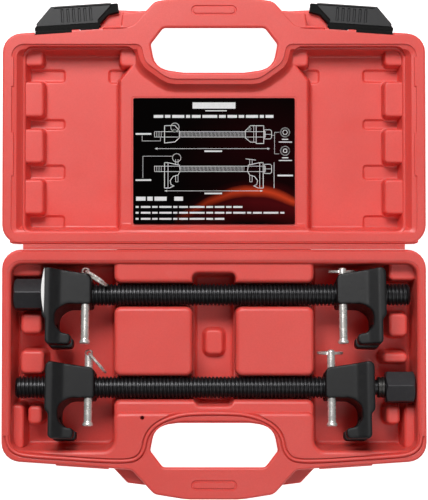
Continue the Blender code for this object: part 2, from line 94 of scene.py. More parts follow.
def offset(corners, inset):
    """Move every side of a counter-clockwise polygon of (x, y, radius) inward."""
    moved = []
    for i, (x, y, radius) in enumerate(corners):
        before = Vector(corners[i - 1][:2])
        after = Vector(corners[(i + 1) % len(corners)][:2])
        here = Vector((x, y))
        incoming = (here - before).normalized()
        outgoing = (after - here).normalized()
        one = Vector((-incoming.y, incoming.x))
        other = Vector((-outgoing.y, outgoing.x))
        place = here + inset * (one + other) / (1 + one.dot(other))
        turn = incoming.x * outgoing.y - incoming.y * outgoing.x
        grown = radius - inset if turn > 0 else radius + inset
        moved.append((place.x, place.y, max(grown, 0.06)))
    return moved


def rounded(corners, arc=ARC):
    """The points of a polygon whose corners (x, y, radius) are rounded with arcs."""
    points = []
    for i, (x, y, radius) in enumerate(corners):
        here = Vector((x, y))
        back = (Vector(corners[i - 1][:2]) - here).normalized()
        ahead = (Vector(corners[(i + 1) % len(corners)][:2]) - here).normalized()
        half = back.angle(ahead) / 2
        radius = max(radius, 0.06)
        reach = radius / math.tan(half)
        centre = here + (back + ahead).normalized() * radius / math.sin(half)
        start = here + back * reach - centre
        sweep = start.angle_signed(here + ahead * reach - centre)
        steps = max(1, round(abs(math.degrees(sweep)) / arc))
        for k in range(steps + 1):
            points.append(tuple(centre + turned_by(start, -sweep * k / steps)))
    return points


def turned_by(vector, angle):
    cosine, sine = math.cos(angle), math.sin(angle)
    return Vector((vector.x * cosine - vector.y * sine, vector.x * sine + vector.y * cosine))


def rect(x_range, d_range, radius):
    (left, right), (near, far) = sorted(x_range), sorted(d_range)
    return [(left, near, radius), (right, near, radius), (right, far, radius), (left, far, radius)]


def both_sides(right_half):
    """A counter-clockwise polygon from the corners of its right half, near to far."""
    return right_half + [(-x, d, radius) for x, d, radius in reversed(right_half)]


def on_wing(corners, wing):
    """Corners drawn for the right side (wing 1), mirrored for the left one (wing -1)."""
    return corners if wing > 0 else [(-x, d, radius) for x, d, radius in reversed(corners)]


# ---------------- solids

def mesh_object(name, work):
    data = bpy.data.meshes.new(name)
    work.to_mesh(data)
    work.free()
    return linked(bpy.data.objects.new(name, data))


def solid(name, work):
    bmesh.ops.recalc_face_normals(work, faces=work.faces)
    return mesh_object(name, work)


def linked(made):
    bpy.context.scene.collection.objects.link(made)
    return made


def vert(work, x, y, z):
    return work.verts.new((x * MM, y * MM, z * MM))


def skin(name, work, loops):
    """A closed solid between matching loops of vertices, capped at both ends."""
    for one, other in zip(loops, loops[1:]):
        for i in range(len(one)):
            j = (i + 1) % len(one)
            work.faces.new((one[i], one[j], other[j], other[i]))
    work.faces.new(loops[0])
    work.faces.new(loops[-1])
    return solid(name, work)


def loft(name, corners, rings, side=1.0, arc=ARC):
    """A closed solid through (inset, height) rings of one outline, from the bottom up."""
    work = bmesh.new()
    loops = []
    for inset, z in rings:
        points = rounded(offset(corners, inset), arc)
        loops.append([vert(work, x, side * d, z) for x, d in points])
    return skin(name, work, loops)


def quarter(steps=4):
    """Pairs (1 - sine, 1 - cosine) of a quarter turn, from flat to upright."""
    for k in range(steps + 1):
        angle = math.pi / 2 * k / steps
        yield 1 - math.sin(angle), 1 - math.cos(angle)


def pocket_rings(floor, top, draft=1.6, foot=3.0, lip=2.0):
    """A pocket's wall from its floor up past its rounded lip."""
    rings = [(draft + foot * a, floor + foot * b) for a, b in quarter()]
    rings += [(-lip * b, top + OVER - lip * a) for a, b in quarter()]
    return rings + [(-lip, RIM_Z + 6.0)]


def slot_rings(top, depth):
    """A shallow slot sunk below a floor, with soft edges."""
    return [(2.0, top - depth), (1.2, top - depth + 0.2), (0.7, top - depth + 0.8),
            (0.2, top - 0.7), (-0.3, top - 0.15), (-1.0, top + OVER), (-1.0, top + 0.5)]


def block_rings(floor, top, draft=1.0, foot=2.0, edge=2.0, depth=2.5):
    """A raised block's wall from inside the floor below it up to its rounded top edge."""
    rings = [(-draft - foot, floor - depth)]
    rings += [(-draft - foot * a, floor - OVER + foot * b) for a, b in quarter()]
    return rings + [(edge * b, top - edge * a) for a, b in quarter()]


def body_rings(bottom, top, draft, low_edge, high_edge):
    """The outer wall of a free-standing body, rounded below and above."""
    rings = [(draft + low_edge * a, bottom + low_edge * b) for a, b in quarter()]
    return rings + [(high_edge * b, top - high_edge * a) for a, b in quarter()]


def through_rings(bottom, top, lip, flare):
    """A hole right through, with a rounded lip above and walls that widen downward."""
    rings = [(-flare, bottom - 6.0), (-flare, bottom + 1.0), (-0.2 * flare, top - 6.0)]
    rings += [(-lip * b, top + OVER - lip * a) for a, b in quarter()]
    return rings + [(-lip, top + 6.0)]


def cylinder(name, start, end, radius, sides=32, end_radius=None):
    axis = Vector(end) - Vector(start)
    work = bmesh.new()
    turn = axis.to_track_quat("Z", "Y").to_matrix().to_4x4()
    bmesh.ops.create_cone(
        work, cap_ends=True, segments=sides, radius1=radius * MM,
        radius2=(radius if end_radius is None else end_radius) * MM, depth=axis.length * MM,
        matrix=Matrix.Translation((Vector(start) + Vector(end)) / 2 * MM) @ turn)
    return mesh_object(name, work)


def cuboid(name, low, high, edge=0.0):
    work = bmesh.new()
    size = [(b - a) * MM for a, b in zip(low, high)]
    middle = [(a + b) / 2 * MM for a, b in zip(low, high)]
    bmesh.ops.create_cube(work, size=1.0, matrix=Matrix.LocRotScale(middle, None, size))
    if edge:
        soften(work, work.edges[:], edge)
    return mesh_object(name, work)


def soften(work, edges, radius):
    bmesh.ops.bevel(work, geom=edges, offset=radius * MM, segments=3, profile=0.5,
                    affect="EDGES")


def lathe(name, profile, sides=40):
    """A profile of (radius, x) turned about the x axis, closed where the radius is 0."""
    work = bmesh.new()
    loops = []
    for radius, x in profile:
        angles = [math.tau * k / sides for k in range(1 if radius == 0 else sides)]
        loops.append([vert(work, x, radius * math.cos(a), radius * math.sin(a)) for a in angles])
    for one, other in zip(loops, loops[1:]):
        for k in range(sides):
            face = [ring[i % len(ring)] for ring, i in (
                (one, k), (one, k + 1), (other, k + 1), (other, k))]
            work.faces.new(list(dict.fromkeys(face)))
    return solid(name, work)


def combine(thing, steps):
    """Apply a list of ("add" | "cut" | "keep", solid) to thing, and drop the solids."""
    operations = {"add": "UNION", "cut": "DIFFERENCE", "keep": "INTERSECT"}
    for kind, other in steps:
        modifier = thing.modifiers.new(kind, "BOOLEAN")
        modifier.operation = operations[kind]
        modifier.object = other
        modifier.solver = "EXACT"
    bake(thing)
    for _, other in steps:
        bpy.data.meshes.remove(other.data)
    return thing


def bake(thing):
    """Turn a mesh with its modifiers into a plain mesh."""
    graph = bpy.context.evaluated_depsgraph_get()
    made = bpy.data.meshes.new_from_object(thing.evaluated_get(graph))
    old = thing.data
    thing.modifiers.clear()
    thing.data = made
    bpy.data.meshes.remove(old)
    return thing


def place(thing, matrix):
    thing.data.transform(matrix)
    return thing


def weld(work, distance):
    bmesh.ops.remove_doubles(work, verts=work.verts, dist=distance)
    bmesh.ops.dissolve_degenerate(work, edges=work.edges, dist=1e-6)


def finish(thing, name, paint, body, nodes=(), sharp=32.0, weighted=True):
    """Name a piece, shade and paint it, and set it on its body."""
    thing.name = name
    thing.data.name = name
    work = bmesh.new()
    work.from_mesh(thing.data)
    weld(work, 2e-6)
    work.to_mesh(thing.data)
    work.free()
    thing.data.materials.clear()
    thing.data.materials.append(paint)
    thing.data.shade_smooth()
    thing.data.set_sharp_from_angle(angle=math.radians(sharp))
    if weighted:
        normals = thing.modifiers.new("normals", "WEIGHTED_NORMAL")
        normals.keep_sharp = True
    if body:
        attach(thing, body)
    if nodes:
        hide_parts(*nodes)
    return thing


# ---------------- materials

class Paint:
    """A procedural material and the few node calls that the recipes below share."""

    def __init__(self, name, color, roughness, metallic=0.0):
        self.material = bpy.data.materials.new(name)
        self.material.use_nodes = True
        self.tree = self.material.node_tree
        self.shader = self.tree.nodes["Principled BSDF"]
        self.set("Base Color", color)
        self.set("Roughness", roughness)
        self.set("Metallic", metallic)
        self.place = self.tree.nodes.new("ShaderNodeTexCoord").outputs["Object"]

    def feed(self, socket, value):
        """Link a socket to another one, or set its constant; a colour gains its alpha."""
        if isinstance(value, bpy.types.NodeSocket):
            self.tree.links.new(value, socket)
        else:
            socket.default_value = (*value, 1.0) if socket.type == "RGBA" else value

    def set(self, key, value):
        self.feed(self.shader.inputs[key], value)

    def node(self, kind, *values, **inputs):
        """A new node with its inputs fed in order, by name, or both."""
        made = self.tree.nodes.new(kind)
        for key, value in (*enumerate(values), *inputs.items()):
            self.feed(made.inputs[key], value)
        return made

    def noise(self, scale, detail=4.0, roughness=0.55):
        return self.node("ShaderNodeTexNoise", Vector=self.place, Scale=scale, Detail=detail,
                         Roughness=roughness).outputs["Fac"]

    def spread(self, factor, low, high, to_low, to_high):
        """Map a 0 to 1 value from one range to another."""
        made = self.node("ShaderNodeMapRange", factor, low, high, to_low, to_high)
        return made.outputs["Result"]

    def mix(self, factor, one, other):
        made = self.tree.nodes.new("ShaderNodeMix")
        made.data_type = "RGBA"
        for index, value in ((0, factor), (6, one), (7, other)):
            self.feed(made.inputs[index], value)
        return made.outputs[2]

    def math(self, operation, *values):
        made = self.tree.nodes.new("ShaderNodeMath")
        made.operation = operation
        for socket, value in zip(made.inputs, values):
            self.feed(socket, value)
        return made.outputs[0]

    def bump(self, layers):
        """Stack bumps from (height socket, strength, distance in millimetres)."""
        normal = None
        for height, strength, distance in layers:
            made = self.node("ShaderNodeBump", Height=height, Strength=strength,
                             Distance=distance * MM)
            if normal:
                self.feed(made.inputs["Normal"], normal)
            normal = made.outputs["Normal"]
        self.set("Normal", normal)


def red_plastic():
    """Blow-moulded polythene: faint orange peel, fine grain and slightly uneven colour."""
    paint = Paint("red_polythene_satin", (0.70, 0.075, 0.06), 0.42)
    paint.set("Subsurface Weight", 0.35)
    paint.set("Subsurface Radius", (1.0, 0.12, 0.08))
    paint.set("Subsurface Scale", 4.0 * MM)
    cloud = paint.spread(paint.noise(14.0, 3.0), 0.3, 0.7, 0.0, 1.0)
    speck = paint.spread(paint.noise(900.0, 2.0), 0.35, 0.65, 0.0, 0.35)
    tone = paint.mix(cloud, (0.70, 0.074, 0.060), (0.74, 0.086, 0.071))
    paint.set("Base Color", paint.mix(speck, tone, (0.64, 0.060, 0.050)))
    paint.set("Roughness", paint.spread(paint.noise(60.0, 5.0), 0.3, 0.7, 0.36, 0.50))
    paint.bump([(paint.noise(120.0, 2.0), 0.10, 0.30), (paint.noise(1500.0, 2.0), 0.12, 0.08)])
    return paint.material


def satin(name, base, high, rough, grain, relief, metallic, specular=0.5):
    """A satin finish with fine grain, cloudy gloss and lighter worn spots."""
    paint = Paint(name, base, rough, metallic)
    paint.set("Specular IOR Level", specular)
    wear = paint.spread(paint.noise(grain * 0.25, 6.0, 0.7), 0.52, 0.75, 0.0, 0.6)
    paint.set("Base Color", paint.mix(wear, base, high))
    cloud = paint.noise(grain * 0.5, 5.0)
    paint.set("Roughness", paint.spread(cloud, 0.3, 0.7, rough - 0.07, rough + 0.09))
    paint.bump([(paint.noise(grain, 3.0), 0.25, relief),
                (paint.noise(grain * 4.0, 2.0), 0.15, relief * 0.4)])
    return paint.material


def chrome():
    """Bright plating with fine drawing marks and a few duller patches."""
    paint = Paint("chrome_plate", (0.80, 0.77, 0.73), 0.25, 0.65)
    patch = paint.spread(paint.noise(180.0, 4.0), 0.45, 0.8, 0.0, 1.0)
    paint.set("Base Color", paint.mix(patch, (0.82, 0.79, 0.75), (0.66, 0.64, 0.61)))
    paint.set("Roughness", paint.spread(paint.noise(260.0, 5.0), 0.3, 0.75, 0.18, 0.36))
    paint.bump([(paint.noise(1400.0, 2.0), 0.10, 0.03)])
    return paint.material


def printed_card():
    """Black coated board with a dark red ribbon printed across its lower right."""
    paint = Paint("printed_card", (0.002, 0.002, 0.002), 0.30)
    paint.set("Specular IOR Level", 0.0)
    axes = paint.node("ShaderNodeSeparateXYZ", Vector=paint.place)
    across, up = axes.outputs["X"], axes.outputs["Y"]
    warp = paint.noise(24.0, 2.0)
    color = (0.0016, 0.0012, 0.0012)
    for shift, level, swing, width, tint in (
            (-0.030, 0.060, 0.010, 0.045, (0.010, 0.0012, 0.0018)),
            (-0.034, 0.018, 0.012, 0.016, (0.055, 0.003, 0.004)),
            (-0.030, 0.023, 0.0145, 0.0042, (0.46, 0.040, 0.012))):
        wave = paint.math("COSINE", paint.math("MULTIPLY", paint.math("ADD", across, shift), 34.0))
        crest = paint.math("MULTIPLY_ADD", wave, swing, level)
        bent = paint.math("MULTIPLY_ADD", warp, 0.008, crest)
        away = paint.math("ABSOLUTE", paint.math("SUBTRACT", up, bent))
        band = paint.spread(away, 0.0, width, 1.0, 0.0)
        fade = paint.spread(across, -0.030, 0.030, 0.0, 1.0)
        color = paint.mix(paint.math("MULTIPLY", band, fade), color, tint)
    paint.set("Base Color", color)
    paint.set("Roughness", paint.spread(paint.noise(70.0, 4.0), 0.3, 0.7, 0.30, 0.44))
    paint.bump([(paint.noise(500.0, 2.0), 0.06, 0.05)])
    return paint.material


def card_ink():
    paint = Paint("white_ink", (0.62, 0.62, 0.62), 0.45)
    tone = paint.mix(paint.noise(800.0, 3.0), (0.54, 0.54, 0.55), (0.72, 0.72, 0.72))
    paint.set("Base Color", tone)
    paint.bump([(paint.noise(1800.0, 1.0), 0.05, 0.02)])
    return paint.material


def studio_floor():
    paint = Paint("studio_floor", (0.5, 0.5, 0.5), 0.8)
    tone = paint.mix(paint.noise(3.0, 2.0), (0.49, 0.49, 0.49), (0.51, 0.51, 0.51))
    paint.set("Base Color", tone)
    paint.set("Emission Color", (1.0, 1.0, 1.0))
    paint.set("Emission Strength", 1.0)
    return paint.material


RED = red_plastic()
# name, base, worn colour, roughness, grain, relief in mm, metallic, specular
CAST_BLACK = satin("cast_black_coating", (0.004, 0.004, 0.0045), (0.010, 0.010, 0.011),
                   0.46, 900.0, 0.12, 0.0, 0.28)
OXIDE_BLACK = satin("black_oxide_steel", (0.014, 0.0135, 0.015), (0.04, 0.039, 0.042),
                    0.34, 1200.0, 0.05, 0.5)
NYLON_BLACK = satin("black_nylon", (0.018, 0.018, 0.019), (0.028, 0.028, 0.030),
                    0.42, 1400.0, 0.06, 0.0, 0.38)
# a darker, duller copy of the black nylon: painted shade on the latch seats, barrels and folds
SHADED_NYLON_BLACK = satin("black_nylon_painted_shade", (0.002, 0.002, 0.002), (0.006, 0.005, 0.005),
                   0.6, 1400.0, 0.06, 0.0, 0.12)
HEAD_BLACK = satin("black_oxide_head", (0.028, 0.027, 0.030), (0.05, 0.049, 0.052),
                   0.36, 1200.0, 0.05, 0.3)
COLLAR_STEEL = satin("dark_collar_steel", (0.05, 0.048, 0.046), (0.11, 0.105, 0.10),
                     0.36, 800.0, 0.05, 0.8)
# light grey for a painted highlight along a captive jaw's rounded flange edge
FLANGE_HIGHLIGHT_GREY = satin("flange_highlight_grey", (0.55, 0.54, 0.53), (0.72, 0.71, 0.70),
                   0.45, 900.0, 0.05, 0.25)
CHROME = chrome()
CARD = printed_card()
INK = card_ink()


# ---------------- case

CASE = both_sides([
    (HALF_WIDTH, 2.0, 14.0), (HALF_WIDTH, CORNER_D, 14.0), (SHOULDER_X, SHOULDER_D, 12.0),
    (60.0, 163.4, 5.0), (43.7, 181.0, 8.0), (20.0, 184.8, 40.0)])
HANDLE_HOLE = both_sides([
    (28.0, 128.4, 40.0), (43.4, 132.8, 12.0), (46.6, 149.2, 3.0), (37.4, 161.2, 4.0)])


def latch_boss(side, wing):
    """The low shelf between a latch and the handle, which is longer on the lid."""
    corners = [(76.0, 150.0, 1.0), (76.0, 161.6, 2.0), (64.0, 174.2, 2.5), (50.0, 176.0, 2.0),
               (46.0, 166.0, 1.0)]
    if side > 0:
        corners[:3] = [(98.0, 150.0, 1.0), (98.0, 163.5, 0.6), (91.0, 165.0, 1.0),
                       (79.0, 177.4, 2.0)]
    return loft("boss", on_wing(corners, wing), body_rings(3.0, 28.4, 0.4, 1.5, 1.6), side)


def groove_ring(corners, width, low, top, side):
    """A shallow groove along an outline, from low up to top, as a solid to cut with."""
    rings = [(0.25, low), (0.0, low + 0.3), (-0.3, top + 0.2), (-0.3, top + 4.0)]
    core_rings = [(-0.3, low - 1.0), (-0.3, low), (0.3, top + 0.2), (0.3, top + 5.0)]
    core = loft("core", offset(corners, width), core_rings, side)
    return combine(loft("ring", corners, rings, side), [("cut", core)])


def bead(name, path, radius, sink, top, side):
    """A rounded line along a path of (x, d), sunk into the face below it."""
    work = bmesh.new()
    loops = []
    for before, here, after in zip(path[:1] + path, path, path[1:] + path[-1:]):
        along = (Vector(after) - Vector(before)).normalized()
        across = Vector((-along.y, along.x))
        ring = []
        for k in range(12):
            angle = math.tau * k / 12
            x, d = Vector(here) + across * radius * math.cos(angle)
            z = top - sink + sink * math.sin(angle)
            ring.append(vert(work, x, side * d, z))
        loops.append(ring)
    return skin(name, work, loops)


def shell(name, side):
    """The outer block of a half with its bosses, handle hole and underside panel."""
    half = loft(name, CASE, body_rings(0.0, RIM_Z, 1.4, 5.0, 1.8), side)
    under = loft("under", rect((-138.0, 138.0), (18.0, 118.0), 12.0),
                 [(-0.4, -6.0), (-0.4, 0.1), (0.9, 1.6)], side)
    return combine(half, [
        ("add", latch_boss(side, 1)), ("add", latch_boss(side, -1)),
        ("cut", loft("hole", HANDLE_HOLE, through_rings(0.0, RIM_Z, 2.0, 8.5), side)),
        ("cut", under),
        ("cut", loft("seam", rect((-141.0, 141.0), (3.0, 3.9), 0.4),
                     [(0.2, RIM_Z - 0.6), (-0.2, RIM_Z + 0.3), (-0.2, RIM_Z + 4.0)], side)),
        ("cut", groove_ring(rect((-16.6, 16.6), (170.8, 177.8), 3.45), 1.3, RIM_Z - 0.9,
                            RIM_Z, side)),
    ])


# The lid's full-height web between a latch and the handle, and the groove along its root
LID_WEB = [(83.5, 150.0, 0.6), (83.5, 162.2, 0.8), (68.6, 163.2, 0.6), (67.6, 172.6, 2.5),
           (50.0, 174.4, 2.0), (46.0, 166.0, 1.0)]
WEB_GROOVE = [(81.6, 159.6, 0.3), (81.6, 161.4, 0.3), (58.5, 161.4, 0.2)]
# The slope from the lid's rim down to its panel level, as (inset, height) pairs
LID_COVE = ((9.4, 32.0), (8.2, 32.5), (6.8, 33.9), (5.5, 36.0), (4.5, 38.1), (3.6, 39.6),
            (0.6, 40.6), (0.15, 40.9), (0.0, 41.3), (0.0, 48.0))
LID_SLOTS = (
    ((111.5, 138.5), (14.3, 24.0)), ((111.5, 138.5), (50.9, 61.9)),
    ((111.5, 138.5), (88.4, 96.1)), ((111.5, 138.5), (123.8, 133.4)),
    ((61.4, 79.0), (123.0, 133.4)),
)
LID_LUMPS = (
    # x range, d range, top, corner radius
    ((126.4, 142.0), (24.6, 50.4), 30.5, 3.0), ((126.4, 142.0), (62.4, 87.9), 30.5, 3.0),
    ((126.4, 142.0), (96.8, 123.2), 30.5, 3.0), ((127.0, 142.0), (135.0, 148.0), 29.0, 3.0),
    ((56.0, 70.0), (134.0, 148.0), 32.0, 3.4),
)


def make_lid():
    lid = shell("lid_shell", 1)
    web = body_rings(20.0, RIM_Z - 0.4, 0.4, 1.0, 1.6)
    groove = [(0.3, RIM_Z - 1.6), (0.0, RIM_Z - 0.5), (-0.2, RIM_Z + 2.0)]
    steps = [(kind, loft("web", on_wing(corners, wing), rings)) for kind, corners, rings in (
        ("add", LID_WEB, web), ("cut", WEB_GROOVE, groove)) for wing in (1, -1)]
    ridge = both_sides([(149.0, 8.6, 6.0), (149.0, 149.4, 9.0), (53.5, 149.4, 5.0),
                        (50.5, 136.0, 12.0), (33.0, 123.6, 14.0)])
    steps += [("cut", loft("cove", ridge, LID_COVE))]
    bar = rect((-150.0, 150.0), (2.6, 10.8), 1.5)
    steps += [("add", loft("bar", bar, [(-0.2, 24.0), (0.0, 39.8), (0.3, 40.9), (1.1, 41.5)]))]
    well = [(70.0, 12.5, 2.5), (139.5, 12.5, 4.0), (139.5, 146.0, 6.0), (60.0, 146.0, 5.0),
            (60.0, 136.5, 1.0), (70.0, 124.0, 2.0)]
    for wing in (1, -1):
        for near, far in ((52.0, 84.0), (118.0, 140.0)):
            jog = rect((wing * 147.3, wing * 151.0), (near, far), 0.7)
            steps += [("add", loft("jog", jog, [(0.0, 34.0), (0.0, 41.3), (0.3, 41.7)]))]
        wall = pocket_rings(LID_FLOOR, PANEL_Z, 1.6, 2.2, 2.0)
        steps += [("cut", loft("well", on_wing(well, wing), wall))]
        for x_range, d_range in LID_SLOTS:
            slot = rect([wing * x for x in x_range], d_range, 2.6)
            steps += [("cut", loft("slot", slot, slot_rings(LID_FLOOR, 2.0)))]
        for x_range, d_range, top, corner in LID_LUMPS:
            lump = rect([wing * x for x in x_range], d_range, corner)
            steps += [("add", loft("lump", lump, block_rings(LID_FLOOR, top, 0.8, 1.2, 2.0)))]
    seat = rect((-61.0, 61.0), (15.8, 111.7), 1.4)
    steps += [("cut", loft("seat", seat, [(0.5, 31.7), (0.1, 31.8), (-0.3, 32.1), (-0.3, 36.0)]))]
    return combine(lid, steps)


BAND_TOP = 38.6
TRAY_BANDS = (
    # x range, d range of the raised blocks between the wells
    ((-73.5, 73.5), (4.0, 26.3)), ((-73.5, -15.8), (44.1, 94.6)),
    ((15.8, 73.5), (44.1, 94.6)), ((-73.5, 73.5), (112.4, 128.0)),
)
TRAY_LUMPS = (
    # x range, d range, top
    ((-150.5, -127.0), (8.0, 21.6), 30.0), ((-143.2, -127.7), (49.0, 64.0), 28.0),
    ((-143.2, -125.6), (76.3, 93.6), 30.0), ((-150.5, -141.0), (116.5, 150.5), 26.0),
    ((-138.0, -127.7), (117.5, 131.2), 26.0), ((129.6, 150.5), (8.0, 24.6), 30.0),
    ((129.6, 143.5), (49.0, 66.0), 28.0), ((124.6, 143.5), (78.0, 85.4), 30.0),
    ((141.0, 150.5), (117.0, 150.5), 26.0), ((127.7, 138.0), (117.5, 131.2), 26.0),
)


def make_tray():
    tray = shell("tray_shell", -1)
    well = both_sides([(148.8, 12.6, 8.0), (148.8, 149.0, 8.0), (73.5, 149.0, 8.0),
                       (73.5, 121.0, 5.0)])
    steps = [("cut", loft("well", well, pocket_rings(4.0, RIM_Z - 0.5, 1.0, 3.0, 3.0), -1))]
    slab = rect((-73.5, 73.5), (4.0, 128.0), 4.0)
    steps += [("add", loft("slab", slab, block_rings(4.0, 20.0, 1.6, 2.5, 1.5), -1))]
    for x_range, d_range in TRAY_BANDS:
        block = rect(x_range, d_range, 5.0)
        steps += [("add", loft("band", block, block_rings(4.0, BAND_TOP, 1.4, 2.0, 3.2), -1))]
    recess = [(-15.8, 19.2, 4.0), (15.8, 19.2, 4.0), (15.8, 112.0, 3.0), (11.5, 116.5, 3.0),
              (-11.5, 116.5, 3.0), (-15.8, 112.0, 3.0)]
    steps += [("cut", loft("recess", recess, pocket_rings(10.0, BAND_TOP, 1.6, 3.0, 2.4), -1))]
    bump = rect((-7.0, 7.0), (61.0, 80.0), 4.0)
    steps += [("add", loft("bump", bump, block_rings(10.0, 16.0, 1.2, 1.5, 2.4), -1))]
    for x_range, d_range, top in TRAY_LUMPS:
        lump = rect(x_range, d_range, 3.6)
        steps += [("add", loft("lump", lump, block_rings(4.0, top, 1.0, 2.0, 2.6), -1))]
    tray = combine(tray, steps)
    return combine(tray, [
        ("cut", bead("rim_channel", rim_bead_path(), 2.8, 1.3, RIM_Z + 0.5, -1)),
        ("add", bead("rim_bead", rim_bead_path(), 1.35, 1.3, RIM_Z + 0.1, -1)),
        ("cut", cylinder("vent", (-52.5, -125.0, 34.0), (-52.5, -125.0, 44.0), 1.5, 20)),
    ])


def rim_bead_path():
    """Round the front edge of the tray's rim and the hinge side of its handle hole."""
    right = [(0.0, 121.8), (20.0, 122.2), (31.0, 124.8), (40.0, 128.6), (46.0, 133.4),
             (50.0, 140.0), (51.0, 147.0), (54.0, 153.0), (60.0, 156.6), (77.0, 156.8),
             (110.0, 154.6), (138.0, 152.8), (146.0, 150.4), (150.6, 145.4), (151.8, 138.0)]
    return smoothed(right[::-1] + [(-x, d) for x, d in right[1:]])


def smoothed(points):
    """Chaikin corner cutting, twice, that keeps the two ends."""
    for _ in range(2):
        made = [points[0]]
        for one, other in zip(points, points[1:]):
            one, other = Vector(one), Vector(other)
            made += [tuple(one.lerp(other, 0.25)), tuple(one.lerp(other, 0.75))]
        points = made + [points[-1]]
    return points


def latch_frames():
    """Each latch's label, side, pivot place and turn about the vertical."""
    slope = math.atan2(SHOULDER_D - CORNER_D, HALF_WIDTH - SHOULDER_X)
    wall_d = CORNER_D + (HALF_WIDTH - LATCH_X) * math.tan(slope)
    axis_d = wall_d + LATCH_OFFSET / math.cos(slope)
    for label, wing in (("left", -1), ("right", 1)):
        yield label, wing, (wing * LATCH_X, axis_d), -wing * slope


def at(x, y, z, turn=0.0):
    return Matrix.Translation(Vector((x, y, z)) * MM) @ Matrix.Rotation(turn, 4, "Z")


def add_latch_notches(lid):
    """Notches in the lid's front edge for the latches' black hinge seats."""
    steps = []
    for _, wing, (x, d), turn in latch_frames():
        for ends, depth in (((wing * 24.0, -wing * 3.6), 5.6), ((-wing * 9.2, -wing * 23.8), 4.5),
                            ((-wing * 3.0, -wing * 9.6), 3.3)):
            low, high = sorted(ends)
            notch = cuboid("notch", (low, -depth, -6.0), (high, 8.0, 14.0))
            steps += [("cut", place(notch, at(x, d, LATCH_Z, turn)))]
    return combine(lid, steps)


def make_latch_seat(label, wing, spot, turn):
    """The black hinge seat in the lid's edge that a latch's barrel turns in."""
    low, high = sorted((wing * 23.7, -wing * 3.3))
    outline = [(low, -5.3, 0.6), (high, -5.3, 0.6), (high, -2.5, 0.3), (low, -2.5, 0.3)]
    seat = loft("seat", outline, body_rings(-5.4, 6.0, 0.0, 0.4, 0.7))
    near, far = sorted((-wing * 9.5, -wing * 23.4))
    steps = [("add", cuboid("foot", (near, -4.2, -5.4), (far, -2.5, 4.6), 0.3)),
             ("add", cuboid("tie", (-23.4, -4.6, -5.4), (23.4, -3.0, -4.0), 0.2))]
    for k in range(5):
        x = low + 3.6 + k * (high - low - 7.2) / 4
        steps += [("add", cuboid("rib", (x - 0.6, -3.2, -5.0), (x + 0.6, -2.32, 5.2), 0.15))]
    combine(seat, steps)
    place(seat, at(*spot, LATCH_Z, turn))
    # the seat is painted in the darker black nylon as shade
    finish(seat, f"latch_seat_{label}", SHADED_NYLON_BLACK, "lid")


def add_catches(tray):
    """Ridges on the tray's front wall for the latches to snap over."""
    steps = []
    for _, wing, (x, d), turn in latch_frames():
        shift = -wing * LATCH_SKEW
        ridge = cuboid("catch", (shift - LATCH_HALF + 4.0, LATCH_OFFSET - 0.9, 38.0),
                       (shift + LATCH_HALF - 4.0, LATCH_OFFSET + 1.0, 40.4), 0.6)
        steps += [("add", place(ridge, at(x, -d, 0.0, -turn)))]
    return combine(tray, steps)


def make_web():
    """The flexing web between the halves, thick at its edges and ribbed along its length."""
    section = [(-1.9, 41.3), (-1.2, 41.35), (-0.75, 41.1), (-0.35, 41.25), (0.0, 41.05),
               (0.35, 41.25), (0.75, 41.1), (1.2, 41.35), (1.9, 41.3),
               (1.9, 40.5), (1.0, 40.6), (0.0, 40.75), (-1.0, 40.6), (-1.9, 40.5)]
    work = bmesh.new()
    return skin("web", work, [[vert(work, 4.0 * k - 140.0, y, z) for y, z in section]
                              for k in range(71)])


def make_latch(label, wing, spot, turn):
    """A skewed snap latch: its slotted grip with a lip, its barrel and side fold in painted shade.
    """
    skew = -wing * LATCH_SKEW
    root = LATCH_HALF - 0.5
    top = LATCH_TOP
    plate_outline = [(-root, 1.0, 0.3), (root, 1.0, 0.3), (root, 4.0, 0.5),
                     (LATCH_HALF + skew, LATCH_REACH, 1.8), (-LATCH_HALF + skew, LATCH_REACH, 1.8),
                     (-root, 4.0, 0.5)]
    plate = loft("latch", plate_outline, body_rings(-1.2, top, 0.0, 0.4, 0.6))
    steps = [("add", cuboid("lip", (skew - LATCH_HALF + 2.2, LATCH_REACH - 1.5, 0.0),
                            (skew + LATCH_HALF - 2.2, LATCH_REACH - 0.4, top + 1.0), 0.4))]
    for number in range(6):
        across = (number - 2.5) * 4.2 + skew * 0.6
        slot = rect((across - 0.8, across + 0.8), (3.6, LATCH_REACH - 2.8), 0.3)
        rings = [(0.25, top - 0.8), (0.0, top - 0.5), (-0.25, top + 0.05), (-0.25, top + 1.0)]
        steps += [("cut", loft("slot", slot, rings))]
    combine(plate, steps)
    barrel = cylinder("barrel", (-LATCH_HALF, 0, 0), (LATCH_HALF, 0, 0), BARREL_R, 28)
    steps = [("add", cylinder("trunnion", (-LATCH_HALF - 0.8, 0, 0), (LATCH_HALF + 0.8, 0, 0),
                              TRUNNION_R, 20)),
             ("cut", cuboid("flat", (-LATCH_HALF - 2, -3.0, top), (LATCH_HALF + 2, 3.0, top + 4)))]
    combine(barrel, steps)
    inner = [(18.0, 1.2, 0.2), (24.6, 1.2, 0.2), (30.6, 7.0, 1.0), (38.6, 8.6, 0.8),
             (38.2, 15.6, 0.8), (30.0, 15.6, 0.3)]
    fold = loft("fold", on_wing(inner, -wing), [(0.0, -3.6), (0.0, -1.0), (0.6, 0.3)])
    latch = f"latch_{label}"
    for thing, title, paint, nodes in ((plate, "grip", NYLON_BLACK, [latch]),
                                       (barrel, "barrel", SHADED_NYLON_BLACK, ()),
                                       (fold, "fold", SHADED_NYLON_BLACK, ())):
        place(thing, at(*spot, LATCH_Z, turn))
        finish(thing, f"snap_{latch}_{title}", paint, latch, nodes)


CARD_X, CARD_D, CARD_Z = (-59.8, 59.8), (17.0, 110.5), 33.1


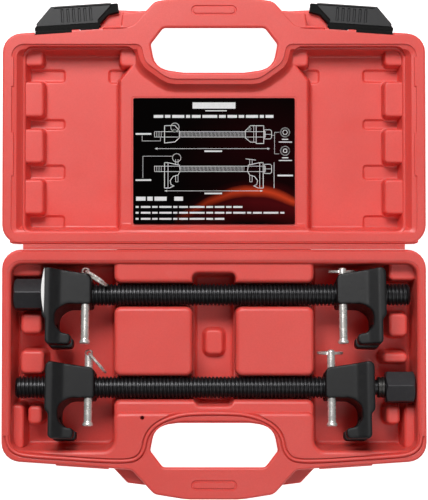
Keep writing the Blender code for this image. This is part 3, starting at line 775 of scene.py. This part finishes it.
def stroke(work, points, width, closed=False, up=0.0):
    """A flat line of ink on the card, along a path of (x, d) that is moved up by a distance."""
    points = [Vector((x, d + up)) for x, d in (points + points[:1] if closed else points)]
    for one, other in zip(points, points[1:]):
        along = (other - one).normalized() * width / 2
        across = Vector((-along.y, along.x))
        corners = [one - along - across, other + along - across, other + along + across,
                   one - along + across]
        low, high = ([vert(work, *corner, z) for corner in corners]
                     for z in (CARD_Z - 0.02, CARD_Z + 0.04))
        work.faces.new(low[::-1])
        work.faces.new(high)
        for k in range(4):
            work.faces.new((low[k], low[(k + 1) % 4], high[(k + 1) % 4], high[k]))


def strokes(work, *marks):
    """Several open lines, each given as its width and then its points."""
    for width, *points in marks:
        stroke(work, points, width)


def ring_points(x, d, radius, sides, phase=0.0):
    return [(x + radius * math.cos(math.tau * k / sides + phase),
             d + radius * math.sin(math.tau * k / sides + phase)) for k in range(sides)]


def draw_rod(work, d):
    """The rod of a line drawing: its outline, thread marks and hexagon."""
    stroke(work, [(-44.0, -2.0), (38.0, -2.0), (38.0, 2.0), (-44.0, 2.0)], 0.35, True, d)
    for first, gap, lean, count in ((-25.0, 1.0, 0.3, 48), (-42.5, 1.2, 0.0, 4)):
        for k in range(count):
            x = first + k * gap
            stroke(work, [(x, -1.9), (x + lean, 1.9)], 0.22, up=d)
    stroke(work, [(37.4, -3.4), (41.6, -3.4), (42.6, -2.4), (42.6, 2.4), (41.6, 3.4),
                  (37.4, 3.4)], 0.45, True, d)
    stroke(work, [(37.4, 0.0), (42.2, 0.0)], 0.3, up=d)


def draw_views(work):
    """Generic drawings of the tool from above and from the side."""
    top, side = 83.5, 57.9
    for d in (top, side):
        draw_rod(work, d)
    stroke(work, [(-36.6, -6.4), (-36.6, 6.4), (-29.0, 6.6), (-25.6, 2.6), (-25.6, -2.6),
                  (-29.0, -5.6)], 0.5, True, top)
    stroke(work, [(36.8, -6.8), (36.8, 6.4), (27.0, 6.4), (23.2, 2.6), (23.2, -2.6),
                  (27.0, -5.8), (31.2, -5.8), (31.2, -6.8)], 0.5, True, top)
    stroke(work, [(31.2, -5.8), (31.2, 6.4)], 0.45, up=top)
    stroke(work, [(29.4, -5.8), (29.4, 6.4)], 0.3, up=top)
    stroke(work, ring_points(-28.9, top + 5.3, 3.1, 20), 0.45, True)
    for x, d in ((-29.2, top + 2.6), (26.2, top + 4.0)):
        stroke(work, ring_points(x, d, 0.6, 10), 1.1, True)
    for way, edge in ((1, -36.6), (-1, 36.4)):
        stroke(work, [(edge + way * u, v) for u, v in (
            (0.0, 4.6), (2.6, 4.6), (11.0, 2.8), (11.6, -1.6), (10.0, -4.6), (6.4, -5.6),
            (4.2, -8.6), (4.8, -11.6), (7.0, -12.6), (3.6, -14.2), (0.0, -14.2))], 0.5, True, side)
        for width, u, v, to_u, to_v in (
                (0.4, 2.6, 4.6, 2.6, -14.2), (0.35, 8.2, -9.6, 8.2, -4.8),
                (0.35, 8.2, 3.0, 8.2, 7.0), (0.35, 10.0, -9.6, 10.0, -4.8),
                (0.35, 10.0, 3.0, 10.0, 7.0), (0.35, 8.2, -9.6, 10.0, -9.6)):
            stroke(work, [(edge + way * u, v), (edge + way * to_u, to_v)], width, up=side)
    stroke(work, ring_points(-27.6, side + 8.2, 3.1, 20), 0.45, True)
    stroke(work, [(23.6, 7.4), (30.6, 6.6)], 0.5, up=side)


def draw_dimension(work, low, high, d):
    """A dimension line with arrow heads and a bar in place of its number."""
    stroke(work, [(low, d), (high, d)], 0.3)
    for end, barb in ((low, 1.6), (high, -1.6)):
        for lift in (0.5, -0.5):
            stroke(work, [(end + barb, d + lift), (end, d)], 0.4)
    stroke(work, [(-6.5, -1.9), (5.4, -1.9)], 1.1, up=d)


def draw_words(work, x, d, reach, height):
    """A line of plain bars in place of words."""
    for length in (7.0, 4.0, 9.0, 3.0, 6.5, 11.0, 5.0) * 3:
        if x < reach - 2.0:
            end = min(x + length, reach)
            stroke(work, [(x + height / 2, d), (end - height / 2, d)], height)
            x = end + 1.3


def make_card():
    """The printed card and its ink: generic drawings and plain bars in place of words."""
    corners = rect(CARD_X, CARD_D, 1.3)
    card = loft("card", corners, [(0.0, CARD_Z - 0.8), (0.0, CARD_Z - 0.08), (0.08, CARD_Z)], 1, 9)
    finish(card, "printed_card", CARD, "lid", ["instruction_card"])

    work = bmesh.new()
    strokes(work, (4.6, (-13.6, 104.9), (13.6, 104.9)), (0.8, (-6.0, 101.0), (9.0, 101.0)))
    draw_words(work, -44.6, 96.8, 44.0, 2.1)
    draw_views(work)
    draw_dimension(work, -43.6, 41.2, 72.9)
    draw_dimension(work, -36.4, 36.0, 41.6)
    strokes(work, (1.2, (-57.4, 83.8), (-47.0, 83.8)),
            (0.25, (-53.2, 82.4), (-53.2, 78.6), (-39.6, 78.6), (-39.6, 81.0)),
            (1.2, (-57.4, 49.6), (-47.0, 49.6)),
            (0.25, (-52.6, 51.2), (-52.6, 67.3), (-31.0, 67.3)),
            (0.35, (44.4, 43.8), (44.4, 62.6)), (1.2, (47.6, 53.0), (57.8, 53.0)),
            (0.25, (42.6, 82.8), (44.8, 82.8), (44.8, 85.0), (48.2, 85.0)),
            (0.25, (44.8, 82.8), (44.8, 69.0), (48.2, 69.0)))
    for d, sides, phase in ((85.0, 6, 0.0), (71.3, 4, math.pi / 4)):
        stroke(work, ring_points(52.6, d, 3.3, 24), 0.7, True)
        stroke(work, ring_points(52.6, d, 1.8, sides, phase), 0.6, True)
        strokes(work, (0.7, (50.6, d - 5.2), (54.6, d - 5.2)),
                (0.7, (48.2, d - 7.2), (57.4, d - 7.2)))
    draw_words(work, -57.6, 35.8, -22.6, 3.0)
    for d, reach in ((29.7, 21.0), (25.4, 52.0), (20.9, 8.4)):
        stroke(work, [(-57.2, d), (-56.4, d)], 1.4)
        draw_words(work, -54.0, d, reach, 1.35)
    ink = mesh_object("ink", work)
    ink.name = "card_line_art"
    ink.data.materials.append(INK)
    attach(ink, "lid")


# ---------------- tools

def tool_matrix(tool):
    return at(0, -tool["d"], ROD_Z) @ Matrix.Rotation(ROLL, 4, "X")


def side_plate(name, outline, half):
    """A closed outline in (x, v) made solid between w = -half and w = half."""
    work = bmesh.new()
    return skin(name, work, [[vert(work, x, v, w) for x, v in outline] for w in (-half, half)])


def jaw_outline():
    return rounded([
        (0.0, -17.8, 3.0), (2.6, -21.0, 2.0), (2.6, -38.6, 3.0), (20.8, -38.6, 3.0),
        (20.8, -31.6, 2.2), (14.5, -30.4, 5.0), (9.4, -25.5, 7.0), (9.4, -14.5, 8.0),
        (17.0, -9.2, 9.0), (JAW_LENGTH, -9.2, 1.6), (JAW_LENGTH, 12.8, 4.0),
        (1.6, 17.6, 4.0), (0.0, 14.0, 2.0)], 9.0)


def jaw_taper():
    return rounded([
        (-1.0, -JAW_FLANGE_W, 0.1), (5.0, -JAW_FLANGE_W, 4.0), (13.0, -JAW_INNER_W - 2, 6.0),
        (JAW_LENGTH + 1, -JAW_INNER_W, 0.1), (JAW_LENGTH + 1, JAW_INNER_W, 0.1),
        (13.0, JAW_INNER_W + 2, 6.0), (5.0, JAW_FLANGE_W, 4.0), (-1.0, JAW_FLANGE_W, 0.1)], 9.0)


JAW_VOXEL = 0.0006
JAW_SMOOTHING = 9


def cast_jaw():
    """The cast body shared by all four jaws, u outward from its outer face at u = 0."""
    jaw = side_plate("jaw", jaw_outline(), JAW_FLANGE_W + 1)
    taper = side_plate("taper", jaw_taper(), 60.0)
    place(taper, Matrix.Rotation(math.radians(90), 4, "X"))
    fork = cuboid("fork", (-6.0, -44.0, -FORK_GAP / 2), (30.0, -22.0, FORK_GAP / 2), 2.0)
    combine(jaw, [("keep", taper), ("cut", fork)])
    remesh = jaw.modifiers.new("voxels", "REMESH")
    remesh.mode = "VOXEL"
    remesh.voxel_size = JAW_VOXEL
    smooth = jaw.modifiers.new("cast", "SMOOTH")
    smooth.factor = 0.5
    smooth.iterations = JAW_SMOOTHING
    return bake(jaw)


def make_jaw(master, name, face, side, pose):
    """A copy of the cast body, bored for its rod and pin; side -1 mirrors it."""
    jaw = linked(bpy.data.objects.new(name, master.data.copy()))
    place(jaw, Matrix.Diagonal((side, 1, 1, 1)))
    if side < 0:
        jaw.data.flip_normals()
    place(jaw, Matrix.Translation((face * MM, 0, 0)))
    pin_x = face + side * PIN_U
    outer, inner = face, face + side * JAW_LENGTH
    steps = [
        ("cut", cylinder("bore", (outer - side * 4, 0, 0), (inner + side * 4, 0, 0), BORE_R, 48)),
        ("cut", cylinder("sink", (outer - side * 0.2, 0, 0), (outer + side * 1.4, 0, 0),
                         BORE_R + 1.4, 48, BORE_R - 0.2)),
        ("cut", cylinder("sink", (inner - side * 1.4, 0, 0), (inner + side * 0.2, 0, 0),
                         BORE_R - 0.2, 48, BORE_R + 1.4)),
        ("cut", cylinder("pin_hole", (pin_x, -22, PIN_W), (pin_x, 26, PIN_W), PIN_R + 0.2, 32)),
    ]
    combine(jaw, steps)
    place(jaw, pose)
    finish(jaw, name + "_casting", CAST_BLACK, name, [name], 50.0, False)


def make_pin(name, x, top, upright, pose):
    """A plated pin with a spread foot, a domed top and a cross hole for its ring."""
    foot = -PIN_LENGTH
    profile = [(0.0, 0.0), (1.2, -0.06), (2.1, -0.4), (2.7, -1.0), (PIN_R, -2.0),
               (PIN_R, foot + 3.6), (3.2, foot + 2.7), (PIN_FOOT_R, foot + 1.7),
               (PIN_FOOT_R, foot + 0.7), (3.6, foot + 0.2), (3.2, foot), (0.0, foot)]
    pin = lathe("pin", profile[::-1])
    place(pin, Matrix.Rotation(math.radians(90), 4, "Z"))
    across = Vector((0, 0, 6)) if upright else Vector((6, 0, 0))
    eye = Vector((0, -EYE_DROP, 0))
    combine(pin, [("cut", cylinder("eye", eye - across, eye + across, EYE_R, 28))])
    pose = pose @ at(x, top, PIN_W)
    place(pin, pose)
    finish(pin, name + "_plated", CHROME, name, [name], 40.0)
    return pose @ at(*eye)


def make_ring(name, eye_matrix, rotation):
    """A split ring: two close turns of wire with a step where one passes to the other."""
    work = bmesh.new()
    turns, per_turn, sides = 2, 56, 10
    count = turns * per_turn - 3
    loops = []
    for i in range(count + 1):
        share = i / count
        angle = math.tau * turns * share + math.pi * 0.75
        shift = (share - 0.5) * 2.0
        lay = max(-1.0, min(1.0, shift * 7.0)) * WIRE_R * 1.05
        radial = Vector((math.sin(angle), 0, math.cos(angle)))
        centre = radial * RING_R + Vector((0, lay, -RING_R))
        ring = []
        for k in range(sides):
            turn = math.tau * k / sides
            offset_by = radial * math.cos(turn) + Vector((0, 1, 0)) * math.sin(turn)
            ring.append(vert(work, *(centre + offset_by * WIRE_R)))
        loops.append(ring)
    ring = skin("ring", work, loops)
    place(ring, eye_matrix @ Euler(rotation).to_matrix().to_4x4())
    finish(ring, name + "_split", CHROME, name, [name], weighted=False)


def make_rod(name, tool, pose):
    """The threaded rod: a right-hand helical ridge between its plain neck and its tip."""
    side = tool["side"]
    shoulder = tool["head"] + side * HEAD_LENGTH
    start = shoulder - side * 4.6
    thread = shoulder + side * NECK_LENGTH
    first, last = abs(thread - start), abs(tool["tip"] - start)
    sides = 36
    marks = ((0.0, ROOT_R), (0.16, ROOT_R), (0.36, ROD_R), (0.80, ROD_R))
    turns = int((last - first) / PITCH) + 2
    work = bmesh.new()
    loops = []
    for k in range(sides):
        angle = math.tau * k / sides
        column = [(0.0, NECK_R - 0.4), (0.4, NECK_R), (first - 0.9, NECK_R),
                  (first - 0.4, ROOT_R - 0.3)]
        for n in range(-1, turns):
            for share, radius in marks:
                x = first + (n + share + k / sides) * PITCH
                limit = ROOT_R - 0.3 + min(x - first, last - x) * 1.1
                if x < first:
                    x, radius = first, ROOT_R - 0.3
                elif x > last:
                    x, radius = last, ROOT_R - 0.6
                column.append((x, max(ROOT_R - 0.6, min(radius, limit))))
        loops.append([vert(work, x, radius * math.cos(angle), radius * math.sin(angle))
                      for x, radius in column])
    for k in range(sides):
        one, other = loops[k], loops[(k + 1) % sides]
        if k == sides - 1:
            other = other[:4] + other[8:] + other[-4:]
        for i in range(len(one) - 1):
            corners = list(dict.fromkeys((one[i], one[i + 1], other[i + 1], other[i])))
            if len(corners) > 2:
                work.faces.new(corners)
    work.faces.new([loop[0] for loop in loops])
    work.faces.new([loop[-1] for loop in loops])
    weld(work, 1e-6)
    rod = solid("rod", work)
    if side < 0:
        place(rod, Matrix.Rotation(math.pi, 4, "Z"))
    place(rod, pose @ Matrix.Translation((start * MM, 0, 0)))
    finish(rod, name + "_screw", OXIDE_BLACK, name + "_spindle",
           [name + "_threaded_rod"], 28.0, False)


def make_head(name, tool, pose):
    """The hexagon: chamfered ends, softened corners and a broached square socket."""
    side, head = tool["side"], tool["head"]
    shoulder = head + side * HEAD_LENGTH
    hexagon = cylinder("hexagon", (head, 0, 0), (shoulder, 0, 0), HEAD_FLATS / math.sqrt(3), 6)
    work = bmesh.new()
    work.from_mesh(hexagon.data)
    long_edges = [e for e in work.edges if e.calc_length() > 0.9 * HEAD_LENGTH * MM]
    soften(work, long_edges, 0.6)
    work.to_mesh(hexagon.data)
    work.free()
    across = HEAD_FLATS / 2
    flare = lathe("flare", [(0.0, head), (across - 0.4, head), (across + 1.9, head + side * 1.5),
                            (across + 1.9, shoulder - side * 1.5), (across - 0.4, shoulder),
                            (0.0, shoulder)], 64)
    inner, outer = head + side * 15.0, head - side * 2.0
    low, high = sorted((inner, outer))
    half = SQUARE_DRIVE / 2
    detent = head + side * 7.5
    combine(hexagon, [
        ("keep", flare),
        ("cut", cuboid("square", (low, -half, -half), (high, half, half), 0.5)),
        ("cut", cylinder("mouth", (head - side * 0.1, 0, 0), (head + side * 1.5, 0, 0),
                         half * 1.36, 40, half * 1.05)),
        ("cut", cylinder("detent", (detent, -9.0, 0), (detent, 9.0, 0), 2.0, 20)),
        ("cut", cylinder("seat", (shoulder - side * 5.0, 0, 0), (shoulder + side, 0, 0),
                         NECK_R + 0.3, 40))])
    place(hexagon, pose)
    finish(hexagon, name + "_hexagon", HEAD_BLACK, name + "_spindle",
           [name + "_drive_head"], 24.0)


def make_collar(name, tool, pose):
    """The thrust collar, turned with a shallow groove round its middle."""
    side = tool["side"]
    shoulder = tool["head"] + side * HEAD_LENGTH
    a, b = shoulder + side * 0.3, shoulder + side * COLLAR_LENGTH
    bore = NECK_R + 0.3
    groove = (a + b) / 2
    profile = [(bore, a), (COLLAR_R - 0.6, a), (COLLAR_R, a + side * 0.6),
               (COLLAR_R, groove - side * 0.7), (COLLAR_R - 0.5, groove - side * 0.4),
               (COLLAR_R - 0.5, groove + side * 0.4), (COLLAR_R, groove + side * 0.7),
               (COLLAR_R, b - side * 0.6), (COLLAR_R - 0.6, b), (bore, b), (bore, a)]
    collar = lathe("collar", profile, 48)
    place(collar, pose)
    finish(collar, name + "_collar_ring", COLLAR_STEEL, name + "_collar",
           [name + "_thrust_collar"], 30.0)


def make_flange_highlight(name, tool, pose):
    """A light grey crescent on the outer edge of a captive jaw's flange: a painted highlight."""
    steps = 24
    shares = [k / steps for k in range(steps + 1)]
    outer = [(1.6 - 2.1 * math.sin(math.pi * t), 17.0 - 33.5 * t) for t in shares]
    inner = [(1.6 + 0.2 * math.sin(math.pi * t), 17.0 - 33.5 * t) for t in shares[-2:0:-1]]
    edge = side_plate("edge", outer + inner, JAW_FLANGE_W + 0.1)
    place(edge, pose @ Matrix.Translation((tool["captive"] * MM, 0, 0)))
    finish(edge, name + "_flange_highlight", FLANGE_HIGHLIGHT_GREY, name + "_captive_jaw")


def make_tool(name, tool, master):
    pose = tool_matrix(tool)
    side = tool["side"]
    make_rod(name, tool, pose)
    make_head(name, tool, pose)
    make_collar(name, tool, pose)
    # tool 1's captive jaw gets a painted highlight along its flange edge
    if side > 0:
        make_flange_highlight(name, tool, pose)
    upright, lean = tool["upright"]
    for kind, way in (("captive", side), ("travelling", -side)):
        face = tool[kind]
        jaw, pin, ring = (f"{name}_{kind}_{part}" for part in ("jaw", "pin", "ring"))
        make_jaw(master, jaw, face, way, pose)
        eye = make_pin(pin, face + way * PIN_U, tool["pin_top"], kind == upright, pose)
        rotation = (0, math.radians(-90), math.radians(lean)) if kind == upright else (-ROLL, 0, 0)
        make_ring(ring, eye, rotation)


# ---------------- studio

def area_light(name, spot, size, power):
    """A soft rectangular lamp, in metres and watts, aimed at the case's hinge."""
    data = bpy.data.lights.new(name, "AREA")
    data.shape = "RECTANGLE"
    data.size, data.size_y = size
    data.energy = power
    lamp = linked(bpy.data.objects.new(name, data))
    lamp.location = spot
    lamp.rotation_euler = (-Vector(spot)).to_track_quat("-Z", "Y").to_euler()


def make_studio():
    """A pale floor that curves up behind the case, an even sky and two soft lamps."""
    work = bmesh.new()
    bmesh.ops.create_grid(work, x_segments=40, y_segments=40, size=3.0)
    for vert in work.verts:
        reach = max(0.0, vert.co.y - 1.6)
        vert.co.z = reach * reach * 0.35 - 0.0002
    floor = mesh_object("studio_floor", work)
    floor.data.materials.append(studio_floor())
    floor.data.shade_smooth()

    world = bpy.data.worlds.new("studio")
    world.use_nodes = True
    sky = world.node_tree.nodes["Background"].inputs
    sky["Color"].default_value = (1.0, 1.0, 1.0, 1.0)
    sky["Strength"].default_value = 0.07
    bpy.context.scene.world = world
    area_light("key", (-0.25, 0.95, 1.40), (0.9, 0.6), 28.0)
    area_light("fill", (0.5, -0.6, 1.6), (1.2, 1.2), 7.5)


LENS, CAMERA_REACH, TILT = 127.2, 1.114, math.radians(1.5)


def make_camera():
    """The view from above, tilted slightly towards the tray."""
    data = bpy.data.cameras.new("camera")
    data.sensor_fit = "HORIZONTAL"
    data.sensor_width = 36.0
    data.lens = LENS
    camera = linked(bpy.data.objects.new("camera", data))
    target = Vector((0.0, -0.0022, 0.036))
    camera.location = target + Vector((0, -math.sin(TILT), math.cos(TILT))) * CAMERA_REACH
    camera.rotation_euler = (TILT, 0, 0)
    bpy.context.scene.camera = camera


finish(add_latch_notches(make_lid()), "case_lid_moulding", RED, "lid",
       ["case_lid"])
finish(add_catches(make_tray()), "case_tray_moulding", RED, "tray", ["case_tray"])
web = finish(make_web(), "hinge_web", RED, None, ["living_hinge"])
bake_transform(web)
for latch_frame in latch_frames():
    make_latch(*latch_frame)
    make_latch_seat(*latch_frame)
make_card()
jaw_master = cast_jaw()
for tool_name, tool_plan in TOOLS.items():
    make_tool(tool_name, tool_plan, jaw_master)
bpy.data.meshes.remove(jaw_master.data)
make_studio()
make_camera()
bpy.context.scene.view_settings.view_transform = "Standard"
